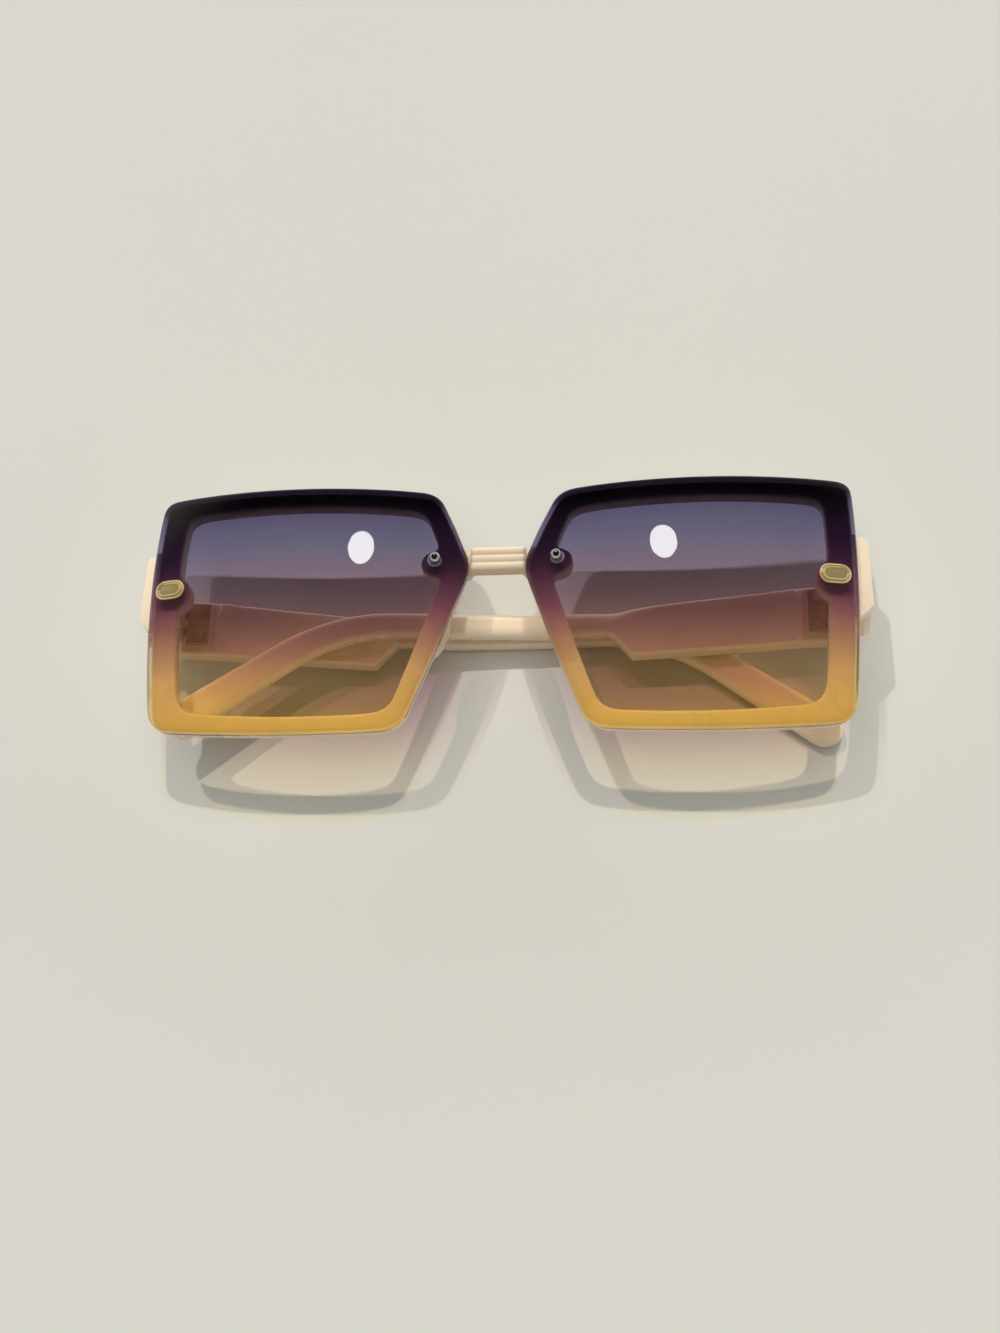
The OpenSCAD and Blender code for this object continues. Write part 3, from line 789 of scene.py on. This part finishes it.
def bridge(s):
    """The fluted bridge: three ridges with rounded ends, and small gussets at the rims."""
    bm = bmesh.new()
    crest = ball_level(s, seat_radius(s), s.nose_gap / 2, s.bridge_y) + BRIDGE_RISE
    step = BRIDGE_STEP
    back = crest - s.bridge_depth
    half = s.ridge_pitch + s.ridge_radius * RIDGE_EDGE_SHARE
    end = s.nose_gap / 2
    lip_inset, lip_start, lip_end = BRIDGE_LIP
    front = []
    for ridge in (1, 0, -1):
        for turn in RIDGE_TURNS:
            angle = math.radians(turn)
            front.append((
                s.bridge_y + ridge * s.ridge_pitch + s.ridge_radius * math.sin(angle),
                crest - s.ridge_radius * (1 - math.cos(angle)),
            ))
    rings = []
    left_half = [(-end + gap * MM, full, drop) for gap, full, drop in RIDGE_END]
    right_half = [(-x, full, drop) for x, full, drop in reversed(left_half)]
    for x, full, drop in (*left_half, (0, 1, 0), *right_half):
        ring = [Vector((x, y, crest - step + (z - crest + step) * full)) for y, z in front]
        low = s.bridge_y - half - BRIDGE_GUSSET * drop
        ring += [
            Vector((x, low + lip_inset, crest - step - lip_start)),
            Vector((x, low, crest - step - lip_end)),
            Vector((x, low, back + BRIDGE_CORNER)), Vector((x, low + BRIDGE_CORNER, back)),
            Vector((x, s.bridge_y, back)), Vector((x, s.bridge_y + half - BRIDGE_CORNER, back)),
            Vector((x, s.bridge_y + half, back + BRIDGE_CORNER)),
        ]
        rings.append(ring)
    loft(bm, rings)
    return bm


def front_piece(s, material):
    """The moulded front: rims, endpieces, nose pads and bridge in one piece."""
    bm = bmesh.new()
    for side in ("left", "right"):
        for make in (rim, endpiece, nose_pad):
            part = make(s)
            face_out(part)
            if side == "left":
                flip_left(part)
            add_mesh(bm, part)
    add_mesh(bm, bridge(s))
    finish_piece(
        bm, "moulded_front", "front", material, ["frame_front"], crease=42
    )


class TempleForm:
    """Edges and faces of a temple, X from the hinge axis to the tip, Z towards the head."""

    def __init__(self, s):
        self.s = s
        self.arm_y = HINGE_Y - ARM_DROP
        self.root_top = HINGE_Y + s.root_height / 2 - ROOT_DROP
        self.root_low = self.root_top - s.root_height
        self.arm_from = s.wide_length + STEP_LENGTH

    def top(self, x):
        """Brow edge at a distance from the hinge."""
        arm_top = self.arm_y + self.s.arm_height / 2
        return self.root_top + (arm_top - self.root_top) * min(1, x / self.arm_from)

    def low(self, x):
        """Lower edge at a distance from the hinge."""
        wide, drop = self.s.wide_length, self.s.wide_drop
        if x <= wide:
            return self.root_low - drop * x / wide
        rise = self.arm_y - self.s.arm_height / 2 - self.root_low + drop
        return self.root_low - drop + rise * min(1, (x - wide) / STEP_LENGTH)

    def outside(self, x):
        """Outer face at a distance from the hinge."""
        face = FACE_OFFSET + self.s.temple_thickness
        return -face + max(0, x - self.s.bow_start) * math.tan(self.s.bow_angle)

    def inside(self, x):
        """Inner face at a distance from the hinge."""
        s = self.s
        if x < s.bow_start - 0.5 * s.arm_thickness * math.tan(s.bow_angle):
            share = min(1, max(0, (x - s.wide_length) / STEP_LENGTH))
            return -FACE_OFFSET - (s.temple_thickness - s.arm_thickness) * share
        return self.outside(x) + s.arm_thickness

    def section(self, at, turn, low, high, corner, soft=0.0, sink=0.0, thin=0.0, bulge=0.0):
        """Rounded section, its points shared out over both faces; soft is for the brow corner."""
        soft = soft or corner
        middle = (low + high) / 2
        flat = []

        def quarter(y, z, radius, start, inner):
            for k in range(QUARTER_STEPS + 1):
                angle = math.radians(start + 90 // QUARTER_STEPS * k)
                flat.append((y + radius * math.cos(angle), z + radius * math.sin(angle), inner))

        quarter(high - soft, -soft, soft, 0, True)
        for k in range(1, FACE_STEPS):
            y = high - soft + (low + corner - high + soft) * k / FACE_STEPS
            flat.append((y, 0.0, True))
        quarter(low + corner, -corner, corner, 90, True)
        quarter(low + corner, corner, corner, 180, False)
        quarter(high - corner, corner, corner, 270, False)
        points = []
        for y, z, inner in flat:
            off = min(abs(y - middle), PANEL_CURVE_SHARE * bulge)
            curve = bulge - math.sqrt(bulge**2 - off**2)
            x = at[0] + math.sin(turn) * y + curve
            level = self.inside(x) - sink - thin if inner else self.outside(x) + thin
            points.append(Vector((x, at[1] + math.cos(turn) * y, level + z)))
        return points


def temple_rings(s):
    """Sections of a temple from its hinge to its tip, X along it and Z towards the head."""
    form = TempleForm(s)
    rings = []

    def straight(x, corner, inset=0.0, **extra):
        low, high = form.low(x * MM) + inset * MM, form.top(x * MM) - inset * MM
        rings.append(form.section((x * MM, 0), 0, low, high, corner * MM, **extra))

    for x, corner, inset, thin in BUTT_PLACES:
        straight(x, corner, inset, sink=s.panel_rise, thin=thin * MM)
    for x, sink in PANEL_EDGE:
        x += s.panel_start / MM
        straight(x, WIDE_ROUND, sink=s.panel_rise * sink, bulge=s.root_height)
    for x in PANEL_PLACES:
        straight(x, WIDE_ROUND)
    for x, soft in PANEL_END:
        straight(x, WIDE_ROUND, soft=soft * MM)
    for share, corner, soft in STEP_PLACES:
        straight((s.wide_length + STEP_LENGTH * share) / MM, corner, soft=soft * MM)
    most, loss = ARM_BROW_ROUND
    for x in ARM_PLACES:
        soft = max(ARM_ROUND, (most - loss * (x - ARM_PLACES[0])) * MM)
        straight(x, ARM_ROUND / MM, soft=soft)

    arc = s.ear_radius * s.ear_angle
    share_end = arc / (arc + s.tip_length)
    for i in range(BEND_STEPS + 1):
        k = i / BEND_STEPS
        turn = k * s.ear_angle
        at = (
            s.ear_start + s.ear_radius * math.sin(turn),
            form.arm_y - s.ear_radius * (1 - math.cos(turn)),
        )
        half = s.arm_height / 2 + (s.tip_width - s.arm_height) / 2 * k * share_end
        rings.append(form.section(at, turn, -half, half, ARM_ROUND))
    bend_end, turn = Vector(at), s.ear_angle
    along = Vector((math.cos(turn), -math.sin(turn)))
    for k in TIP_PLACES:
        share = share_end + (1 - share_end) * k
        half = s.arm_height / 2 + (s.tip_width - s.arm_height) / 2 * share
        at = bend_end + along * s.tip_length * k
        rings.append(form.section(at, turn, -half, half, ARM_ROUND))
    end = bend_end + along * s.tip_length
    reach, depth = TIP_THINNING
    widest, fit = TIP_CORNERS
    for angle in TIP_ANGLES:
        a = math.radians(angle)
        half = s.tip_width / 2 * math.cos(a)
        thin = s.arm_thickness / 2 * (1 - math.sqrt(1 - (math.sin(a) * reach) ** 2)) * depth
        small = min(ARM_ROUND, half * widest, s.arm_thickness / 2 - thin) * fit
        at = end + along * s.tip_width / 2 * math.sin(a)
        rings.append(form.section(at, turn, -half, half, small, thin=thin))
    return rings


def leaf_seat():
    """The raised seat under the leaf of a temple."""
    bm = bmesh.new()
    reach, width, deep = LEAF_SEAT
    place = Matrix.Translation((LEAF_START + reach / 2, HINGE_Y, -FACE_OFFSET - deep / 2))
    bmesh.ops.create_cube(bm, size=1, matrix=place @ Matrix.Diagonal((reach, width, deep, 1)))
    upper = [e for e in bm.edges if all(v.co.z > -FACE_OFFSET - deep / 2 for v in e.verts)]
    bevel(bm, upper, LEAF_SEAT_ROUND, 2)
    return bm


def temple(s, side, material):
    """One temple: a wide part with a raised panel, a step, the arm, the ear bend and the tip."""
    bm = bmesh.new()
    loft(bm, temple_rings(s))
    add_mesh(bm, leaf_seat())
    hinge = HINGE_AT[f"{side}_hinge"]
    if side == "right":
        place = Matrix.Translation((hinge.x, 0, hinge.z)) @ Matrix.Diagonal((-1, 1, 1, 1))
    else:
        place = Matrix.Translation((hinge.x, 0, hinge.z)) @ Matrix.Rotation(s.bow_angle, 4, "Y")
    bmesh.ops.transform(bm, matrix=place, verts=bm.verts)
    finish_piece(
        bm, f"{side}_moulded_temple", f"{side}_temple", material,
        [f"{side}_temple"], crease=30,
    )


def post_depth(s):
    """Length of a post behind the lens front."""
    return s.lens_thickness + s.seat_gap + s.rim_depth + POST_REACH


def nose_stud(s):
    """One ball-headed stud with a collar, and its post through the lens and rim."""
    bm = bmesh.new()
    centre = WASHER_HEIGHT + math.sqrt(s.stud_radius**2 - NECK_RADIUS**2)
    depth = -post_depth(s)
    tip_radius, tip_rise = POST_TIP
    collar_start, collar_radius, collar_level = COLLAR
    profile = [
        (0, depth), (tip_radius, depth), (POST_RADIUS, depth + tip_rise),
        (POST_RADIUS, collar_start), (collar_radius, collar_level),
    ]
    start = -math.acos(NECK_RADIUS / s.stud_radius)
    for k in range(BALL_STEPS + 1):
        angle = start + (math.pi / 2 - start) * k / BALL_STEPS
        profile.append((s.stud_radius * math.cos(angle), centre + s.stud_radius * math.sin(angle)))
    verts = [bm.verts.new((radius, 0, level)) for radius, level in profile]
    edges = [bm.edges.new(pair) for pair in zip(verts, verts[1:])]
    bmesh.ops.spin(
        bm, geom=verts + edges, cent=(0, 0, 0), axis=(0, 0, 1), angle=2 * math.pi, steps=40,
        use_merge=True, dvec=(0, 0, 0),
    )
    bmesh.ops.remove_doubles(bm, verts=bm.verts, dist=0.002 * MM)
    x = s.nose_gap / 2 + s.stud_inset
    bmesh.ops.transform(bm, matrix=lens_place(s, x, s.stud_y), verts=bm.verts)
    return bm


def stadium(span, width, inset, level):
    """Points of an oval made of two half rounds."""
    radius = width / 2 - inset
    shift = (span - width) / 2
    points = []
    for side in (1, -1):
        for k in range(HALF_ROUND_STEPS + 1):
            angle = math.radians(-90 + 180 / HALF_ROUND_STEPS * k)
            angle += 0 if side > 0 else math.pi
            x, y = side * shift + radius * math.cos(angle), radius * math.sin(angle)
            points.append(Vector((x, y, level)))
    return points


def oval_cap(s):
    """One oval cap with a rounded rim, a sunk field that rises to a low ridge, and its post."""
    bm = bmesh.new()
    loft(bm, [
        stadium(s.cap_length, s.cap_width, inset * MM, level / CAP_TOP * s.cap_rise)
        for inset, level in CAP_STEPS
    ])
    post = bmesh.new()
    depth = post_depth(s)
    bmesh.ops.create_cone(
        post, cap_ends=True, segments=32, radius1=POST_RADIUS, radius2=POST_RADIUS,
        depth=depth + POST_INSIDE, matrix=Matrix.Translation((0, 0, (POST_INSIDE - depth) / 2)),
    )
    bevel(post, sharp_edges(post, SHARP), POST_ROUND, 2)
    add_mesh(bm, post)
    x = s.nose_gap / 2 + s.lens_width - s.cap_inset
    bmesh.ops.transform(bm, matrix=lens_place(s, x, s.cap_y), verts=bm.verts)
    return bm


# Operators


def settings():
    """The sizes and the colours that the panel shows."""
    scene = bpy.context.scene
    return scene.glasses_sizes, scene.glasses_colours


class GLASSES_OT_lens_plates(bpy.types.Operator):
    """Build both tinted lens plates."""

    bl_idname = "glasses.lens_plates"
    bl_label = "Lens Plates"

    def execute(self, context):
        s, c = settings()
        material = lens_material(s, c)
        for side in ("left", "right"):
            lens_plate(s, side, material)
        return {"FINISHED"}


class GLASSES_OT_front(bpy.types.Operator):
    """Build the moulded front with its rims, bridge, nose pads and endpieces."""

    bl_idname = "glasses.front"
    bl_label = "Moulded Front"

    def execute(self, context):
        s, c = settings()
        front_piece(s, bpy.data.materials.get("cream_plastic") or plastic_material(c))
        return {"FINISHED"}


class GLASSES_OT_temples(bpy.types.Operator):
    """Build both temples."""

    bl_idname = "glasses.temples"
    bl_label = "Temples"

    def execute(self, context):
        s, c = settings()
        material = bpy.data.materials.get("cream_plastic") or plastic_material(c)
        for side in ("left", "right"):
            temple(s, side, material)
        return {"FINISHED"}


class GLASSES_OT_nose_studs(bpy.types.Operator):
    """Build both ball-headed nose studs."""

    bl_idname = "glasses.nose_studs"
    bl_label = "Nose Studs"

    def execute(self, context):
        s, c = settings()
        bm = nose_stud(s)
        left = nose_stud(s)
        flip_left(left)
        add_mesh(bm, left)
        material = metal_material("bright_chrome", c.chrome, roughness=0.06, grain=0.02, worn=0.92)
        finish_piece(bm, "ball_studs", "front", material, ["nose_studs"])
        return {"FINISHED"}


class GLASSES_OT_oval_caps(bpy.types.Operator):
    """Build both oval caps."""

    bl_idname = "glasses.oval_caps"
    bl_label = "Oval Caps"

    def execute(self, context):
        s, c = settings()
        material = metal_material(
            "satin_gold", c.gold, roughness=0.2, grain=0.08, worn=0.9, metal=0.72
        )
        for side in ("left", "right"):
            bm = oval_cap(s)
            if side == "left":
                flip_left(bm)
            finish_piece(bm, f"{side}_cap", "front", material, [f"{side}_oval_cap"])
        return {"FINISHED"}


class GLASSES_OT_hardware(bpy.types.Operator):
    """Finish the washers, nuts, hinge leaves, rivets and screws of the solid model."""

    bl_idname = "glasses.hardware"
    bl_label = "Washers, Nuts and Hinges"

    def execute(self, context):
        colours = settings()[1]
        clear = washer_material()
        finishes = {
            "nose_stud_washers": clear,
            "cap_washers": clear,
            "nose_stud_nuts": metal_material(
                "nut_chrome", colours.chrome, roughness=0.18, grain=0.08, worn=0.85
            ),
            "cap_nuts": metal_material(
                "nut_gold", colours.gold, roughness=0.2, grain=0.1, worn=0.85
            ),
        }
        hinge = metal_material(
            "hinge_metal", colours.hinge, roughness=0.42, grain=0.25, worn=0.8, metal=0.6
        )
        screw = metal_material(
            "screw_steel", (0.62, 0.6, 0.57), roughness=0.25, grain=0.15, worn=0.8
        )
        for name in frame["nodes"]:
            if name.endswith(("hinge_leaf", "leaf_rivets")):
                finishes[name] = hinge
            elif name.endswith("hinge_screw"):
                finishes[name] = screw
        for name, material in finishes.items():
            mesh = frame["nodes"][name].data
            mesh.materials.clear()
            mesh.materials.append(material)
        return {"FINISHED"}


# Light of the room by height and by depth, and the dark upper part of its backdrop
ROOM_GLOW = (
    (0.0, (2.2, 2.28, 2.36)),
    (0.45, (0.24, 0.25, 0.26)),
    (0.58, (0.03, 0.03, 0.03)),
    (1.0, (0.02, 0.02, 0.02)),
)
ROOM_DEPTH = {"From Min": -1.0, "To Min": 0.15, "To Max": 1.5}
ROOM_TOP = ((0.56, (0.03, 0.03, 0.03)), (1.0, (0.021, 0.021, 0.021)))


class GLASSES_OT_stage(bpy.types.Operator):
    """Build the table top, the soft light and the camera."""

    bl_idname = "glasses.stage"
    bl_label = "Table, Light and Camera"

    def lamp(self, name, towards, distance, size, power, tone, glossy=False, diffuse=True):
        """A round lamp that shines at the sunglasses; distance and size are in metres."""
        light = bpy.data.lights.new(name, "AREA")
        light.shape = "ELLIPSE"
        light.size, light.size_y = size
        light.energy = power
        light.color = tone
        obj = bpy.data.objects.new(name, light)
        bpy.context.scene.collection.objects.link(obj)
        way = Vector(towards).normalized()
        obj.location = way * distance
        obj.rotation_mode = "QUATERNION"
        obj.rotation_quaternion = way.to_track_quat("Z", "Y")
        obj.visible_glossy = glossy
        obj.visible_diffuse = diffuse
        obj.visible_transmission = False

    def room(self, scene, c):
        """Soft light from low down, and a plain backdrop where the room is seen or mirrored."""
        world = bpy.data.worlds.new("soft_room")
        scene.world = world
        world.use_nodes = True
        add = node_maker(world.node_tree)
        where = add("TexCoord").outputs["Generated"]
        axes = add("SeparateXYZ", links={0: where}).outputs
        glow = ramp(add, axes["Z"], ROOM_GLOW, "LINEAR")
        depth = add("MapRange", ROOM_DEPTH, {"Value": axes["Y"]})
        light = add("Background", links={"Color": glow, "Strength": depth.outputs["Result"]})
        backdrop = ramp(add, axes["Z"], [(0.3, c.table), *ROOM_TOP])
        plain = add("Background", links={"Color": backdrop})
        path = add("LightPath").outputs
        seen = path["Is Camera Ray"]
        for kind in ("Is Glossy Ray", "Is Transmission Ray"):
            either = add("Math", links={0: seen, 1: path[kind]}, operation="MAXIMUM")
            seen = either.outputs[0]
        mix = add("MixShader", links={0: seen, 1: light.outputs[0], 2: plain.outputs[0]})
        add("OutputWorld", links={"Surface": mix.outputs[0]})

    def execute(self, context):
        colours = settings()[1]
        scene = context.scene
        bm = bmesh.new()
        bmesh.ops.create_grid(bm, x_segments=8, y_segments=8, size=4)
        mesh = bpy.data.meshes.new("table_top")
        bm.to_mesh(mesh)
        bm.free()
        mesh.materials.append(table_material(colours))
        table = bpy.data.objects.new("table_top", mesh)
        scene.collection.objects.link(table)

        self.room(scene, colours)
        warm, cool = (1.0, 0.985, 0.96), (0.93, 0.98, 1.0)
        self.lamp("lamp_right", (0.13, 0.49, 1), 12, (0.3, 0.3), 420, warm)
        self.lamp("lamp_left", (-0.31, 0.50, 1), 12, (0.3, 0.3), 356, warm)
        self.lamp("lamp_soft", (0, 0, 1), 8, (9, 9), 280, cool)
        self.lamp(
            "lamp_ceiling", (-0.055, 0.592, 0.804), 4, (0.35, 0.56), 9.6, warm,
            glossy=True, diffuse=False,
        )

        camera = bpy.data.cameras.new("camera")
        camera.lens = CAMERA_LENS
        camera.sensor_width = CAMERA_SENSOR
        view = bpy.data.objects.new("camera", camera)
        scene.collection.objects.link(view)
        turn = Matrix(CAMERA_AXES).transposed()
        view.matrix_world = Matrix.Translation(CAMERA_AT) @ turn.to_4x4()
        scene.camera = view
        scene.view_settings.view_transform = "Standard"
        return {"FINISHED"}


class GLASSES_PT_build(bpy.types.Panel):
    """Sizes, colours and build steps of the sunglasses."""

    bl_label = "Square Sunglasses"
    bl_idname = "GLASSES_PT_build"
    bl_space_type = "VIEW_3D"
    bl_region_type = "UI"
    bl_category = "Sunglasses"

    def draw(self, context):
        for group in (context.scene.glasses_colours, context.scene.glasses_sizes):
            column = self.layout.column(align=True)
            for name in group.bl_rna.properties.keys():
                if name not in ("rna_type", "name"):
                    column.prop(group, name)
        for step in STEPS:
            self.layout.operator(step.bl_idname)


STEPS = (
    GLASSES_OT_lens_plates, GLASSES_OT_front, GLASSES_OT_temples, GLASSES_OT_nose_studs,
    GLASSES_OT_oval_caps, GLASSES_OT_hardware, GLASSES_OT_stage,
)
CLASSES = (GlassesSizes, GlassesColours, *STEPS, GLASSES_PT_build)


def register():
    for cls in CLASSES:
        bpy.utils.register_class(cls)
    bpy.types.Scene.glasses_sizes = PointerProperty(type=GlassesSizes)
    bpy.types.Scene.glasses_colours = PointerProperty(type=GlassesColours)


def unregister():
    del bpy.types.Scene.glasses_colours
    del bpy.types.Scene.glasses_sizes
    for cls in reversed(CLASSES):
        bpy.utils.unregister_class(cls)


def main():
    register()
    bpy.ops.glasses.lens_plates()
    bpy.ops.glasses.front()
    bpy.ops.glasses.temples()
    bpy.ops.glasses.nose_studs()
    bpy.ops.glasses.oval_caps()
    bpy.ops.glasses.hardware()
    bpy.ops.glasses.stage()


if __name__ == "__main__":
    main()
